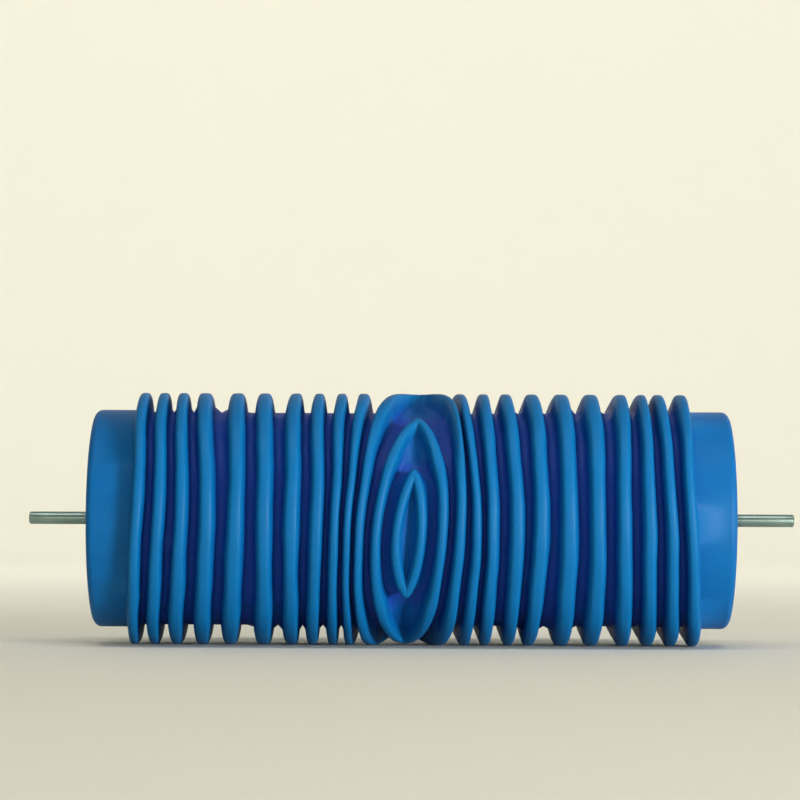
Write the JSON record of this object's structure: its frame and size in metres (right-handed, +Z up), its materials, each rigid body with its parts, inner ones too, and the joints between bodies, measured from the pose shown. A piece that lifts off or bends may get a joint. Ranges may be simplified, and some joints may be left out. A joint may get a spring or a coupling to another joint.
{
  "type": "textured pattern roller",
  "caption": "Wood-grain pattern roller: a soft sleeve with raised grain lines on a rigid tube that turns freely on a thin steel rod standing out of both ends.",
  "frame": {"origin": "middle of the roller on the rod's axis, which is also the centre of the whole part's box", "axes": "+X along the steel rod, -Y from the rod towards the eye of the grain, +Z up"},
  "size_m": [0.218, 0.0716, 0.0716],
  "materials": {
    "blue_rubber": "satin moulded rubber",
    "blue_plastic": "moulded plastic",
    "grey_plastic": "extruded plastic",
    "nylon": "moulded nylon",
    "zinc_steel": "drawn and zinc plated",
    "spring_steel": "oiled spring steel"
  },
  "bodies": {
    "axle": {"axle": "zinc_steel", "thrust_washer_left": "zinc_steel", "thrust_washer_right": "zinc_steel", "retaining_clip_left": "spring_steel", "retaining_clip_right": "spring_steel"},
    "barrel": {"pattern_sleeve": "blue_rubber", "core_tube": "grey_plastic", "end_plug_left": "blue_plastic", "end_plug_right": "blue_plastic", "hub_left": "grey_plastic", "hub_right": "grey_plastic", "bush_left": "nylon", "bush_right": "nylon"}
  },
  "joints": [
    {"name": "barrel_spin", "type": "hinge", "parent": "axle", "child": "barrel", "pos_m": [0, 0, 0], "axis": [1, 0, 0], "continuous": true}
  ]
}
